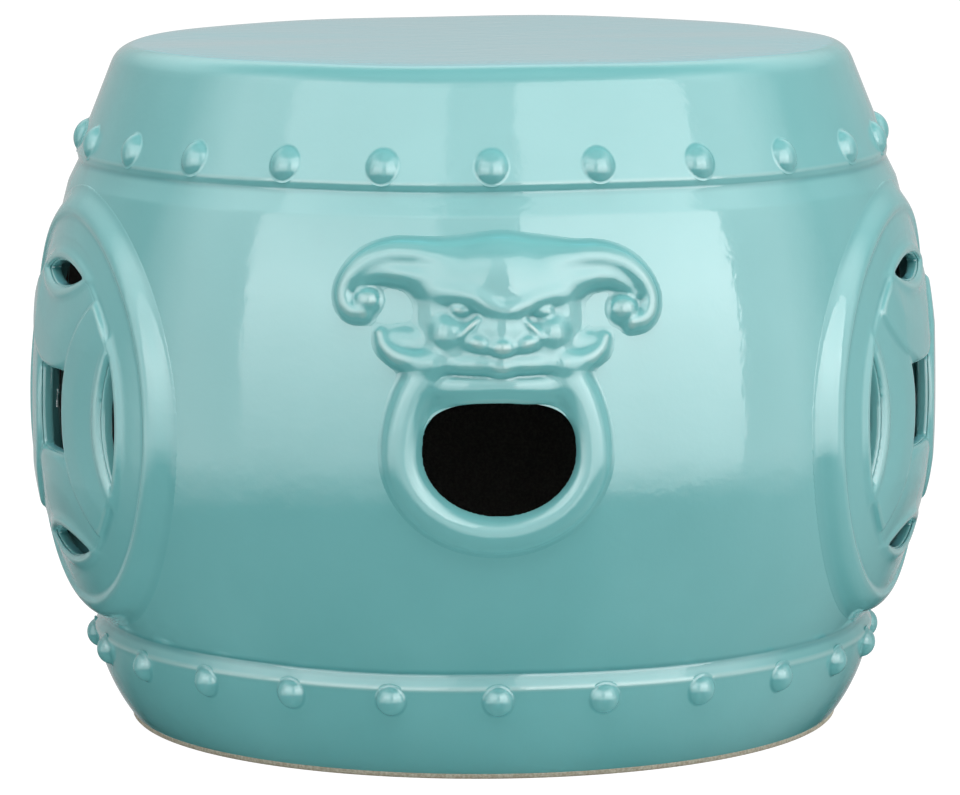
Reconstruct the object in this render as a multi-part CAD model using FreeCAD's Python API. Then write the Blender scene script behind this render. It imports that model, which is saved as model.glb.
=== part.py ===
"""A drum-shaped glazed ceramic garden stool, as the separate clay pieces that a potter lutes together.

Frame: millimetres, +Z up, origin at the centre of the foot on the ground. The main beast mask faces -Y.
Panels are spaced evenly round the barrel and counted anticlockwise seen from above, the front mask first.
Relief is laid out flat for each panel: u runs sideways along the wall, v runs up from the panel's middle
and w stands out from the wall. wall_frame() carries that layout onto the barrel.
"""

import FreeCAD, Part
import math
import os

# Overall form
stool_height = 406.0
belly_radius = 265.8
belly_drop = 142.5
upper_bulge_radius = 483.0
lower_bulge_radius = 264.0
wall = 10.0

# Seat slab
seat_thickness = 12.0
seat_edge_radius = 16.0
seat_fall = 1.2
seat_fall_width = 41.7

# Shoulder band, the tapered wall under the seat, and the neck drawn in below it
shoulder_height = 69.5
shoulder_taper = 22.6
shoulder_lip_rise = 6.5
lip_roll = 3.5
lip_swell = 0.9
lip_swell_drop = 1.2
neck_height = 9.0
neck_depth = 2.6

# Foot band and the bare foot rim under it
foot_top = 64.5
foot_ridge_step = 4.0
foot_ridge_drop = 5.3
foot_crest_inset = 1.0
foot_crest_rise = 3.3
foot_taper = 23.0
foot_belly_inset = 12.6
foot_belly_height = 19.2
foot_rim_height = 3.0
foot_rim_width = 12.0
foot_rim_chamfer = 1.0

# Studs
studs_per_row = 24
upper_stud_radius = 11.2
upper_stud_rise = 7.4
upper_stud_lift = 14.0
lower_stud_radius = 9.4
lower_stud_rise = 6.4
lower_stud_drop = 10.7

# Panels
panel_count = 5
coin_panels = {"right_coin": 1, "left_coin": 4}
mask_panels = {"front_mask": 0, "rear_right_mask": 2, "rear_left_mask": 3}

# Pierced coin medallion
coin_top_margin = 9.5
coin_bottom_margin = 2.5
coin_flange_width = 9.0
coin_frame_width = 40.0
coin_edge_fillet = 6.5
coin_rise = 7.3
coin_upper_bulge = 413.6
coin_lower_bulge = 297.7
coin_plate_thickness = 11.0
coin_band_rise = 2.5
coin_square = 48.0
coin_slit_inset = 10.5
coin_slit_end_margin = 2.3
coin_slit_width = 16.0
coin_band_arc = 85.0
coin_band_width = 47.0

# Hand hole and the ring round it
hole_half_width = 43.0
hole_drop = 35.5
hole_climb = 28.5
hole_flat = 26.0
ring_half_width = 54.3
ring_drop = 47.3
ring_climb = 70.0
ring_section = 10.8
ring_station_count = 12
ring_last_angle = 72.0

# Beast mask: lumps of clay as (u, v, w, half width, half height, half depth, turn in degrees)
face_lumps = {
    "skull": (0.0, 82.0, 0.0, 41.0, 41.0, 18.0, 0.0),
    "crown": (0.0, 108.0, 0.0, 36.0, 15.0, 15.0, 0.0),
    "brow_left": (-19.0, 87.0, 11.0, 21.0, 7.5, 12.0, -14.0),
    "brow_right": (19.0, 87.0, 11.0, 21.0, 7.5, 12.0, 14.0),
    "snout": (0.0, 67.0, 12.0, 15.0, 15.0, 15.0, 0.0),
    "nostril_left": (-12.0, 63.0, 14.0, 8.5, 7.0, 10.0, 0.0),
    "nostril_right": (12.0, 63.0, 14.0, 8.5, 7.0, 10.0, 0.0),
    "cheek_left": (-28.0, 69.0, 9.0, 12.0, 12.0, 12.0, 0.0),
    "cheek_right": (28.0, 69.0, 9.0, 12.0, 12.0, 12.0, 0.0),
    "upper_lip": (0.0, 54.0, 8.0, 36.0, 10.0, 15.0, 0.0),
    "lower_lip": (0.0, 39.5, 3.0, 30.0, 10.5, 15.0, 0.0),
    "eye_left": (-21.5, 79.5, 15.0, 6.5, 5.5, 7.0, 0.0),
    "eye_right": (21.5, 79.5, 15.0, 6.5, 5.5, 7.0, 0.0),
}
# The right horn as stations (u, v, radius) from the crown to its curled tip; the left one is its mirror image
horn_stations = [
    (20.0, 105.0, 13.5),
    (34.0, 108.0, 13.2),
    (48.0, 109.0, 12.4),
    (62.0, 107.0, 11.4),
    (75.0, 101.5, 10.4),
    (84.0, 92.0, 9.8),
    (86.0, 81.5, 9.0),
    (78.5, 74.0, 8.2),
    (69.5, 78.0, 7.4),
]
horn_depth_share = 0.95
horn_tip_radius = 8.0
# The right ear as one leaf-shaped lump; the left one is its mirror image
ear_lump = (52.0, 59.0, 0.0, 19.0, 10.5, 10.0, 32.0)

# Reach of the bars that cut windows and holes outwards from the axis
deep = 400.0
# How near a point must lie to a face to count as on it
touch = 0.05

# Heights that follow from the sizes above
shoulder_bottom = stool_height - shoulder_height
shoulder_lip = shoulder_bottom + shoulder_lip_rise
seat_bottom = stool_height - seat_thickness
belly_height = shoulder_bottom - belly_drop
foot_ridge_height = foot_top - foot_ridge_drop
upper_stud_height = shoulder_bottom + upper_stud_lift
lower_stud_height = foot_ridge_height - lower_stud_drop

# The coin fills the barrel's height between its two margins
coin_radius = (shoulder_bottom - coin_top_margin - foot_top - coin_bottom_margin) / 2
coin_height = foot_top + coin_bottom_margin + coin_radius
coin_window_radius = coin_radius - coin_flange_width
coin_field_radius = coin_radius - coin_frame_width
coin_slit_distance = coin_field_radius - coin_slit_inset


def vec(x, y, z):
    return FreeCAD.Vector(x, y, z)


def half_plane_point(r, z):
    """A point of a turned profile, drawn on the +Y side so that its seam lies between panels."""
    return vec(0, r, z)


def line(a, b):
    return Part.LineSegment(half_plane_point(*a), half_plane_point(*b)).toShape()


def arc(a, middle, b):
    return Part.Arc(half_plane_point(*a), half_plane_point(*middle), half_plane_point(*b)).toShape()


def turned(edges):
    """The solid that a closed profile sweeps when it is turned about the stool's axis."""
    face = Part.Face(Part.Wire(Part.__sortEdges__(edges)))
    return face.revolve(vec(0, 0, 0), vec(0, 0, 1), 360)


def bulge(z, widest, upper, lower, inset=0.0):
    """Radius at height z of a belly made of an upper and a lower arc that meet at its widest level."""
    bend = upper if z > belly_height else lower
    return widest - bend + math.sqrt((bend - inset) ** 2 - (z - belly_height) ** 2)


def barrel_radius(z, inset=0.0):
    return bulge(z, belly_radius, upper_bulge_radius, lower_bulge_radius, inset)


# Radii that follow the barrel's: the shoulder's lip carries its line on, and the foot's ridge stands out of it
shoulder_lip_radius = barrel_radius(shoulder_bottom)
shoulder_top_radius = shoulder_lip_radius - shoulder_taper
seat_flat_radius = shoulder_top_radius - seat_fall_width
foot_ridge_radius = barrel_radius(foot_top) + foot_ridge_step
foot_belly_radius = foot_ridge_radius - foot_belly_inset
foot_radius = foot_ridge_radius - foot_taper


def neck_radius():
    """Radius of the narrow neck where the barrel meets the shoulder band."""
    return barrel_radius(shoulder_bottom) - neck_depth


def coin_face_radius(z, inset=0.0):
    return bulge(z, belly_radius + coin_rise, coin_upper_bulge, coin_lower_bulge, inset)


def bulge_edges(radius_at, low, high, inset=0.0):
    """The two arcs of a belly between two heights."""
    def at(z):
        return (radius_at(z, inset), z)

    lower_middle = (low + belly_height) / 2
    upper_middle = (belly_height + high) / 2
    return [
        arc(at(low), at(lower_middle), at(belly_height)),
        arc(at(belly_height), at(upper_middle), at(high)),
    ]


def bulge_solid(radius_at, low, high, inset=0.0):
    """A solid belly, filled to the axis."""
    top = (radius_at(high, inset), high)
    bottom = (radius_at(low, inset), low)
    caps = [line(top, (0, high)), line((0, high), (0, low)), line((0, low), bottom)]
    return turned(bulge_edges(radius_at, low, high, inset) + caps)


def barrel_solid():
    """The barrel's outside shape, filled to the axis, with its neck drawn in."""
    neck_start = shoulder_bottom - neck_height
    start = (barrel_radius(neck_start), neck_start)
    top = (neck_radius(), shoulder_bottom)
    bottom = (barrel_radius(foot_top), foot_top)
    caps = [
        line(start, top),
        line(top, (0, shoulder_bottom)),
        line((0, shoulder_bottom), (0, foot_top)),
        line((0, foot_top), bottom),
    ]
    return turned(bulge_edges(barrel_radius, foot_top, neck_start) + caps)


def shoulder_radius(z):
    """Radius of the shoulder band's tapered face."""
    share = (z - shoulder_lip) / (seat_bottom - shoulder_lip)
    return shoulder_lip_radius + share * (shoulder_top_radius - shoulder_lip_radius)


def seat_slab():
    """The round top: flat in the middle, falling slightly to a soft rolled edge.

    The fall is a shallow arc, a quarter of the way down at half its run.
    """
    taper = shoulder_taper / (seat_bottom - shoulder_lip)
    lean = math.atan(taper)
    edge_top = stool_height - seat_fall
    corner = shoulder_top_radius - taper * (edge_top - seat_bottom)
    setback = seat_edge_radius * math.tan((math.pi / 2 - lean) / 2)
    roll_start = (corner - setback, edge_top)
    roll_centre = (corner - setback, edge_top - seat_edge_radius)
    roll_end = (
        roll_centre[0] + seat_edge_radius * math.cos(lean),
        roll_centre[1] + seat_edge_radius * math.sin(lean),
    )
    half_way = (math.pi / 2 + lean) / 2
    roll_middle = (
        roll_centre[0] + seat_edge_radius * math.cos(half_way),
        roll_centre[1] + seat_edge_radius * math.sin(half_way),
    )
    fall_run = roll_start[0] - seat_flat_radius
    fall_middle = (seat_flat_radius + fall_run / 2, stool_height - seat_fall / 4)
    edges = [
        line((0, seat_bottom), (0, stool_height)),
        line((0, stool_height), (seat_flat_radius, stool_height)),
        arc((seat_flat_radius, stool_height), fall_middle, roll_start),
        arc(roll_start, roll_middle, roll_end),
        line(roll_end, (shoulder_top_radius, seat_bottom)),
        line((shoulder_top_radius, seat_bottom), (0, seat_bottom)),
    ]
    return turned(edges)


def shoulder_edges():
    """Outside of the shoulder band, from the seat joint down to the joint with the barrel."""
    neck = (neck_radius(), shoulder_bottom)
    lip = (shoulder_lip_radius, shoulder_lip)
    roll_middle = (shoulder_lip_radius + lip_swell, shoulder_lip - lip_swell_drop)
    roll = (shoulder_lip_radius, shoulder_lip - lip_roll)
    return [line((shoulder_top_radius, seat_bottom), lip), arc(lip, roll_middle, roll), line(roll, neck)]


def shoulder_band():
    inner_top = (shoulder_top_radius - wall, seat_bottom)
    inner_lip = (shoulder_lip_radius - wall - lip_roll, shoulder_lip)
    inner_bottom = (barrel_radius(shoulder_bottom, wall), shoulder_bottom)
    edges = shoulder_edges() + [
        line((neck_radius(), shoulder_bottom), inner_bottom),
        line(inner_bottom, inner_lip),
        line(inner_lip, inner_top),
        line(inner_top, (shoulder_top_radius, seat_bottom)),
    ]
    return turned(edges)


def foot_edges():
    """Outside of the foot band, from the bare rim up over the ridge to the joint with the barrel."""
    bottom = (foot_radius, foot_rim_height)
    belly = (foot_belly_radius, foot_belly_height)
    ridge = (foot_ridge_radius, foot_ridge_height)
    top = (barrel_radius(foot_top), foot_top)
    crest = (foot_ridge_radius - foot_crest_inset, foot_ridge_height + foot_crest_rise)
    return [arc(bottom, belly, ridge), arc(ridge, crest, top)]


def foot_band():
    inner_top = (barrel_radius(foot_top, wall), foot_top)
    inner_belly = (foot_belly_radius - wall, foot_belly_height)
    inner_bottom = (foot_radius - foot_rim_width, foot_rim_height)
    edges = foot_edges() + [
        line((barrel_radius(foot_top), foot_top), inner_top),
        arc(inner_top, inner_belly, inner_bottom),
        line(inner_bottom, (foot_radius, foot_rim_height)),
    ]
    return turned(edges)


def foot_rim():
    """The unglazed ring that the stool stands on."""
    inner = foot_radius - foot_rim_width
    chamfered = foot_radius - foot_rim_chamfer
    edges = [
        line((inner, foot_rim_height), (foot_radius, foot_rim_height)),
        line((foot_radius, foot_rim_height), (foot_radius, foot_rim_chamfer)),
        line((foot_radius, foot_rim_chamfer), (chamfered, 0)),
        line((chamfered, 0), (inner, 0)),
        line((inner, 0), (inner, foot_rim_height)),
    ]
    return turned(edges)


def panel_angle(index):
    """Turn about Z, in degrees, that carries the front panel to this panel."""
    return index * 360.0 / panel_count


def to_panel(shape, index):
    turned_shape = shape.copy()
    turned_shape.rotate(vec(0, 0, 0), vec(0, 0, 1), panel_angle(index))
    return turned_shape


def flat_point(u, v, depth=0.0):
    """A point of a panel's layout on the flat plane that faces -Y through the axis."""
    return vec(u, -depth, belly_height + v)


def coin_point(u, v):
    """A point of a coin's layout about the coin's own middle."""
    return flat_point(u, coin_height - belly_height + v)


def prism(wire):
    """A bar of a flat outline, running outwards from the axis past the wall."""
    return Part.Face(wire).extrude(vec(0, -deep, 0))


def round_bar(radius):
    """A round bar about the coin's middle."""
    return Part.makeCylinder(radius, deep, coin_point(0, 0), vec(0, -1, 0))


def hand_hole_wire():
    """Half an ellipse below, elliptical corners and a flat top where the chin comes down."""
    corner_width = hole_half_width - hole_flat

    def curve(centre, wide, tall, start, end):
        """Part of an ellipse in the panel plane."""
        major, minor = max(wide, tall), min(wide, tall)
        ellipse = Part.Ellipse(vec(0, 0, 0), major, minor)
        quarter = 0.0 if wide >= tall else math.pi / 2
        edge = Part.ArcOfEllipse(ellipse, start - quarter, end - quarter).toShape()
        place_on = FreeCAD.Placement(flat_point(*centre), FreeCAD.Rotation(vec(1, 0, 0), 90))
        turn = FreeCAD.Placement(vec(0, 0, 0), FreeCAD.Rotation(vec(0, 0, 1), math.degrees(quarter)))
        edge.Placement = place_on.multiply(turn)
        return edge

    edges = [
        curve((0, 0), hole_half_width, hole_drop, math.pi, 2 * math.pi),
        curve((hole_flat, 0), corner_width, hole_climb, 0, math.pi / 2),
        Part.LineSegment(flat_point(hole_flat, hole_climb), flat_point(-hole_flat, hole_climb)).toShape(),
        curve((-hole_flat, 0), corner_width, hole_climb, math.pi / 2, math.pi),
    ]
    return Part.Wire(Part.__sortEdges__(edges))


def wall_frame(u, v):
    """Matrix that carries local (across, up, out) to the barrel's surface at u, v of the front panel."""
    z = belly_height + v
    turn = u / belly_radius
    bend = upper_bulge_radius if v > 0 else lower_bulge_radius
    lean = math.asin(v / bend)
    across = vec(math.cos(turn), math.sin(turn), 0)
    radial = vec(math.sin(turn), -math.cos(turn), 0)
    out = radial * math.cos(lean) + vec(0, 0, math.sin(lean))
    up = out.cross(across)
    origin = radial * barrel_radius(z) + vec(0, 0, z)
    matrix = FreeCAD.Matrix()
    for column, axis in enumerate((across, up, out)):
        for row, value in enumerate(axis):
            matrix_set(matrix, row, column, value)
    for row, value in enumerate(origin):
        matrix_set(matrix, row, 3, value)
    return matrix


def matrix_set(matrix, row, column, value):
    setattr(matrix, "A%d%d" % (row + 1, column + 1), value)


def lump(u, v, w, half_width, half_height, half_depth, turn):
    """An ellipsoid of clay on the wall, turned in the wall's plane."""
    scaling = FreeCAD.Matrix()
    scaling.scale(half_width, half_height, half_depth)
    turning = FreeCAD.Rotation(vec(0, 0, 1), turn).toMatrix()
    lift = FreeCAD.Matrix()
    lift.move(vec(0, 0, w))
    carry = wall_frame(u, v).multiply(lift).multiply(turning).multiply(scaling)
    return Part.makeSphere(1.0).transformGeometry(carry)


def wall_point(u, v, w):
    return wall_frame(u, v).multVec(vec(0, 0, w))


def mirrored(shape):
    return shape.mirror(vec(0, 0, 0), vec(1, 0, 0))


def tube_through(stations, sink):
    """A round tube through (u, v, radius) stations, its middle line sunk by a share of each radius."""
    centres = [wall_point(u, v, -radius * sink) for u, v, radius in stations]
    sections = []
    for index, (u, v, radius) in enumerate(stations):
        before = centres[max(index - 1, 0)]
        after = centres[min(index + 1, len(centres) - 1)]
        sections.append(Part.Wire([Part.Circle(centres[index], after - before, radius).toShape()]))
    return Part.makeLoft(sections, True, False), centres


def ring_half():
    """The right half of the pear-shaped ring, from its lowest point up to where the jaw hides it."""
    stations = []
    for step in range(ring_station_count):
        angle = math.radians(-90.0 + step * (90.0 + ring_last_angle) / (ring_station_count - 1))
        reach = ring_climb if angle > 0 else ring_drop
        stations.append((ring_half_width * math.cos(angle), reach * math.sin(angle), ring_section))
    # A twin of the second station on the far side keeps the halves' joint square to the tube
    twin = (-stations[1][0], stations[1][1], ring_section)
    tube = tube_through([twin] + stations, 0.0)[0]
    right_side = Part.makeBox(deep, 2 * deep, deep, vec(0, -2 * deep, 0))
    return tube.common(right_side)


def horn():
    """A tapering horn that leaves the crown sideways and curls under to a round tip."""
    body, centres = tube_through(horn_stations, horn_depth_share - 1.0)
    return body.fuse(Part.makeSphere(horn_tip_radius, centres[-1]))


def largest(shape):
    return max(shape.Solids, key=lambda solid: solid.Volume)


def seated(shape, tools):
    """What is left of a shape outside the tools. Copies are cut, so that the tools stay exact."""
    return largest(shape.copy().cut([tool.copy() for tool in tools]).removeSplitter())


def mask_pieces(core, hole):
    """One mask at the front panel: face, horns, ears and ring, each seated on the wall and on the face."""
    lumps = [lump(*sizes) for sizes in face_lumps.values()]
    face = lumps[0].copy().fuse([clay.copy() for clay in lumps[1:]])
    right_horn = seated(horn(), [core] + lumps)
    ear = lump(*ear_lump)
    right_ear = seated(ear, [core] + lumps)
    half = ring_half()
    return {
        "face": seated(face, [core, hole]),
        "left_horn": mirrored(right_horn),
        "right_horn": right_horn,
        "left_ear": mirrored(right_ear),
        "right_ear": right_ear,
        "ring": seated(half.fuse(mirrored(half)), [core, hole, ear, mirrored(ear)] + lumps),
    }


def slit_wire(angle):
    """A pointed slit: its outer side follows the coin's round frame and its inner side mirrors it."""
    half = math.sqrt((coin_field_radius - coin_slit_end_margin) ** 2 - coin_slit_distance ** 2)
    bow = coin_slit_width / 2
    edges = [
        Part.Arc(coin_point(-half, coin_slit_distance), coin_point(0, coin_slit_distance + side * bow),
                 coin_point(half, coin_slit_distance)).toShape()
        for side in (1, -1)
    ]
    wire = Part.Wire(Part.__sortEdges__(edges))
    wire.rotate(coin_point(0, 0), vec(0, 1, 0), angle)
    return wire


def band_prism(angle):
    """A curved strip beside the square, between two arcs that bow towards the coin's middle."""
    inner_edge = coin_square / 2
    outer_edge = inner_edge + coin_band_width
    inner = Part.makeCylinder(coin_band_arc, deep, coin_point(inner_edge + coin_band_arc, 0), vec(0, -1, 0))
    outer = Part.makeCylinder(coin_band_arc, deep, coin_point(outer_edge + coin_band_arc, 0), vec(0, -1, 0))
    strip = inner.cut(outer).common(round_bar(coin_field_radius))
    strip.rotate(coin_point(0, 0), vec(0, 1, 0), angle)
    return strip


def square_wire():
    half = coin_square / 2
    corners = [coin_point(*c) for c in ((-half, -half), (half, -half), (half, half), (-half, half))]
    return Part.makePolygon(corners + corners[:1])


def coin_pieces(core):
    """One medallion at the front panel: the round frame, the pierced plate inside it and the woven bands."""
    low = coin_height - coin_radius - coin_edge_fillet
    high = coin_height + coin_radius + coin_edge_fillet
    face = bulge_solid(coin_face_radius, low, high)
    plate_face = bulge_solid(coin_face_radius, low, high, coin_band_rise)
    plate_back = bulge_solid(coin_face_radius, low, high, coin_band_rise + coin_plate_thickness)
    hollow = bulge_solid(barrel_radius, low, high, wall)
    field = round_bar(coin_field_radius)

    flange = round_bar(coin_radius).common(face).cut(core)
    rim_edges = [e for e in flange.Edges if is_rim_edge(e, coin_radius, coin_face_radius)]
    flange = flange.makeFillet(coin_edge_fillet, rim_edges)
    plug = round_bar(coin_window_radius).common(core).cut(hollow)
    frame = flange.fuse(plug).cut(field).removeSplitter()

    openings = [prism(slit_wire(quarter * 90.0)) for quarter in range(4)] + [prism(square_wire())]
    plate = field.common(plate_face).cut([plate_back] + openings)
    strips = [band_prism(quarter * 90.0) for quarter in range(4)]
    bands = strips[0].fuse(strips[1:]).common(face).cut([plate_face] + openings)
    return {"frame": largest(frame), "plate": largest(plate), "bands": largest(bands)}


def is_rim_edge(edge, radius, radius_at):
    """True for the edges where a round bar about the panel's axis meets a belly's face."""
    for share in (0.0, 0.5, 1.0):
        point = edge.valueAt(edge.FirstParameter + share * (edge.LastParameter - edge.FirstParameter))
        off_bar = abs(math.hypot(point.x, point.z - coin_height) - radius)
        off_face = abs(math.hypot(point.x, point.y) - radius_at(point.z))
        if off_bar > touch or off_face > touch:
            return False
    return True


def stud_row(core, stud_radius, stud_rise, seat_radius, height, lean):
    """A ring of domed studs on a band; lean is how far the band's face looks up."""
    ball = (stud_radius ** 2 + stud_rise ** 2) / (2 * stud_rise)
    sunk = ball - stud_rise
    centre = vec(0, -(seat_radius - sunk * math.cos(lean)), height - sunk * math.sin(lean))
    first = largest(Part.makeSphere(ball, centre).cut(core))
    studs = []
    for index in range(studs_per_row):
        stud = first.copy()
        stud.rotate(vec(0, 0, 0), vec(0, 0, 1), index * 360.0 / studs_per_row)
        studs.append(stud)
    return Part.makeCompound(studs)


def upper_studs(shoulder_core):
    lean = math.atan(shoulder_taper / (seat_bottom - shoulder_lip))
    seat_radius = shoulder_radius(upper_stud_height)
    return stud_row(shoulder_core, upper_stud_radius, upper_stud_rise, seat_radius, upper_stud_height, lean)


def lower_studs(foot_core):
    """The foot band's face is an arc, so the studs' seat is found on that arc."""
    seat_edge = foot_edges()[0]
    probe = Part.LineSegment(half_plane_point(0, lower_stud_height),
                             half_plane_point(belly_radius, lower_stud_height)).toShape()
    seat = seat_edge.distToShape(probe)[1][0][0]
    heading = seat_edge.tangentAt(seat_edge.Curve.parameter(seat))
    lean = -math.atan2(abs(heading.y), abs(heading.z))
    return stud_row(foot_core, lower_stud_radius, lower_stud_rise, seat.y, lower_stud_height, lean)


def solid_core(edges, low, high):
    """The band's outside shape filled to the axis, for seating studs against."""
    ends = [e.valueAt(p) for e in edges for p in (e.FirstParameter, e.LastParameter)]
    top = max(ends, key=lambda p: p.z)
    bottom = min(ends, key=lambda p: p.z)
    caps = [
        line((top.y, top.z), (0, high)),
        line((0, high), (0, low)),
        line((0, low), (bottom.y, bottom.z)),
    ]
    return turned(edges + caps)


def build():
    core = barrel_solid()
    hollow = bulge_solid(barrel_radius, foot_top, shoulder_bottom, wall)
    hole = prism(hand_hole_wire())
    shoulder_core = solid_core(shoulder_edges(), shoulder_bottom, seat_bottom)
    foot_core = solid_core(foot_edges(), foot_rim_height, foot_top)

    window = round_bar(coin_window_radius)
    cuts = [hollow]
    cuts += [to_panel(window, index) for index in coin_panels.values()]
    cuts += [to_panel(hole, index) for index in mask_panels.values()]
    nodes = {
        "seat_slab": seat_slab(),
        "shoulder_band": shoulder_band(),
        "barrel_wall": core.cut(cuts),
        "foot_band": foot_band(),
        "foot_rim": foot_rim(),
        "upper_studs": upper_studs(shoulder_core),
        "lower_studs": lower_studs(foot_core),
    }
    for name, shape in coin_pieces(core).items():
        for panel, index in coin_panels.items():
            nodes["%s_%s" % (panel, name)] = to_panel(shape, index)
    for name, shape in mask_pieces(core, hole).items():
        for panel, index in mask_panels.items():
            nodes["%s_%s" % (panel, name)] = to_panel(shape, index)
    return nodes


def main():
    os.makedirs("parts", exist_ok=True)
    for name, shape in build().items():
        print("%-24s solids %2d  volume %.0f mm3" % (name, len(shape.Solids), shape.Volume))
        shape.exportStep("parts/%s.step" % name)


main()
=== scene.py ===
"""A drum-shaped garden stool in turquoise glaze, with its lights and camera.

Soft-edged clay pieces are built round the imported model. Lengths in the shape functions are millimetres.
Relief is laid out flat over a panel of the barrel: u runs sideways, v runs up from the panel's middle and w
stands out from the wall, and a wrap function carries it to the stool. It is sculpted as signed distances,
negative inside the clay, so that glaze can round every joint.
"""

import itertools
import math

import bpy
import numpy as np
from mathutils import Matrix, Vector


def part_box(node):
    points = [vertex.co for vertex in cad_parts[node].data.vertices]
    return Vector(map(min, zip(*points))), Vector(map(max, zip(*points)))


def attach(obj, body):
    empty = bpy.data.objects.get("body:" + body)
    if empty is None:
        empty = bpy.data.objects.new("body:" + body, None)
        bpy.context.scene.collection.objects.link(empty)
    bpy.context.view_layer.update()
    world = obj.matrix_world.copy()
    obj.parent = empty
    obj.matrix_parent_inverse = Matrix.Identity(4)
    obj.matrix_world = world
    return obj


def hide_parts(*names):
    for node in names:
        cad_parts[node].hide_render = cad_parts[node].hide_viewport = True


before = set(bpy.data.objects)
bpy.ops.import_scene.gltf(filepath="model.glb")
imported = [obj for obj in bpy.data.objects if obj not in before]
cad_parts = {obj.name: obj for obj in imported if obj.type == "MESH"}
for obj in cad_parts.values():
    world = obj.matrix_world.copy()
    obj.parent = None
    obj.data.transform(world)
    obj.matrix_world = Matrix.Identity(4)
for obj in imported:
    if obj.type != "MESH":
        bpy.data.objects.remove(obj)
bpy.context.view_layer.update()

MM = 0.001
TINY = 1e-6
SHARP_ANGLE = 50.0


def cad_mm(node):
    """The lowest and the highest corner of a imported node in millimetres."""
    return np.array(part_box(node)) / MM


# Heights and radii that the frame gives
SEAT_BOTTOM, SEAT_TOP = cad_mm("seat_slab")[:, 2]
SHOULDER_BOTTOM = cad_mm("shoulder_band")[0][2]
BARREL_BOTTOM = cad_mm("barrel_wall")[0][2]
FOOT_BOTTOM = cad_mm("foot_band")[0][2]
BELLY_RADIUS = cad_mm("barrel_wall")[1][1]

# Form of the barrel
BELLY_DROP = 142.5
BELLY_HEIGHT = SHOULDER_BOTTOM - BELLY_DROP
UPPER_BULGE = 483.0
LOWER_BULGE = 264.0
WALL = 10.0
SPIN_STEPS = 480

# The panels' angle apart, and how many panels each mask and coin lies from the front
PANEL_TURN = 72.0
MASK_PANELS = {"front_mask": 0, "rear_right_mask": 2, "rear_left_mask": 3}
COIN_PANELS = {"right_coin": 1, "left_coin": 4}

# Seat, shoulder, neck and foot
SEAT_EDGE_RADIUS = 16.0
SEAT_FLAT_RADIUS = 180.0
SEAT_FALL = 1.2
SHOULDER_TAPER = 22.6
SHOULDER_INSIDE_STEP = 3.5
LIP_RISE = 5.7
LIP_INSET = 1.8
LIP_ROUNDING = 3.2
NECK_DEPTH = 2.8
NECK_LIFT = 0.6
NECK_ROUNDING = 2.6
NECK_FALL = 12.0
NECK_FALL_ROUNDING = 14.0
RIDGE_STEP = 4.0
RIDGE_DROP = 5.3
RIDGE_CORNER_DROP = 1.0
RIDGE_CORNER_ROUNDING = 3.0
RIDGE_FACE_DROP = 8.8
RIDGE_FACE_STAND = 0.3
RIDGE_FACE_ROUNDING = 3.5
FOOT_TAPER = 23.0
FOOT_BELLY_INSET = 12.6
FOOT_BELLY_HEIGHT = 19.2
RIM_WIDTH = 12.0
RIM_CHAMFER = 1.0
PROFILE_GAP = 1.6
ARC_STEP = 0.6

# Studs, the upper row above the shoulder's lower edge and the lower row below the ridge
STUD_COUNT = 24
STUD_SIDES = 32
STUD_FILLET = 2.4
STUD_ROOT = 1.6
UPPER_STUD_LIFT = 15.0
UPPER_STUD_RADIUS = 9.4
UPPER_STUD_RISE = 5.4
LOWER_STUD_DROP = 10.9
LOWER_STUD_RADIUS = 8.6
LOWER_STUD_RISE = 6.2
# Degrees by which a hand set some of the upper studs off their even spacing, by their number from the front
UPPER_STUD_NUDGES = {20: 0.6, 22: 0.5, 23: -0.4, 0: -0.7, 1: -1.2, 2: -1.2, 3: -1.0}

# Sculpting
MASK_CELL = 0.85
COIN_CELL = 1.0
FAR = 50.0
REACH = 8.0
WALL_FILLET = 4.5
BACK_DEPTH = 2.5
SEAM_SINK = 0.12
SEAM_OVERLAP = 0.9
SKIRT_SINK = 0.006
SKIRT_START = 0.4 * WALL_FILLET
SKIRT_END = 0.95 * WALL_FILLET
# Distances over which relief is told from the form beneath it, and the limit of the field values it uses
RELIEF_REACH = 3.0
STUD_RELIEF_REACH = 2.5
RELIEF_LIMIT = 5.0


def smooth_step(low, high, value):
    share = np.clip((value - low) / (high - low), 0.0, 1.0)
    return share * share * (3.0 - 2.0 * share)


def soft_min(a, b, blend):
    """The lower of two distances, with the crease between them rounded over about a blend's width."""
    near = np.maximum(blend - np.abs(a - b), 0.0)
    return np.minimum(a, b) - near * near / (4.0 * blend)


def soft_max(a, b, blend):
    return -soft_min(-a, -b, blend)


def turned_axes(u, v, degrees):
    """Coordinates (along the given direction, sideways to it)."""
    cos, sin = math.cos(math.radians(degrees)), math.sin(math.radians(degrees))
    return u * cos + v * sin, v * cos - u * sin


def hand_made(points):
    """Points moved as by hand work: out of round and out of level, each by under a millimetre."""
    x, y, z = points.T
    turn = np.arctan2(x, -y)
    lift = smooth_step(2.0, 60.0, z)
    swell = 0.35 * np.sin(2 * turn + 0.6) + 0.25 * np.sin(3 * turn + z / 90.0) + 0.15 * np.sin(7 * turn + 2.0)
    level = 0.45 * np.sin(2 * turn + 2.1) + 0.3 * np.sin(5 * turn + 0.4) + 0.2 * np.sin(9 * turn + z / 60.0)
    radius = np.maximum(np.hypot(x, y), TINY)
    outer = smooth_step(20.0, 200.0, radius)
    share = lift * swell * outer / radius
    return np.column_stack((x * (1 + share), y * (1 + share), z + lift * level * outer))


def linked(name, data):
    """A new object in the scene, made of a mesh, a lamp or a camera."""
    made = bpy.data.objects.new(name, data)
    bpy.context.scene.collection.objects.link(made)
    return made


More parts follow.
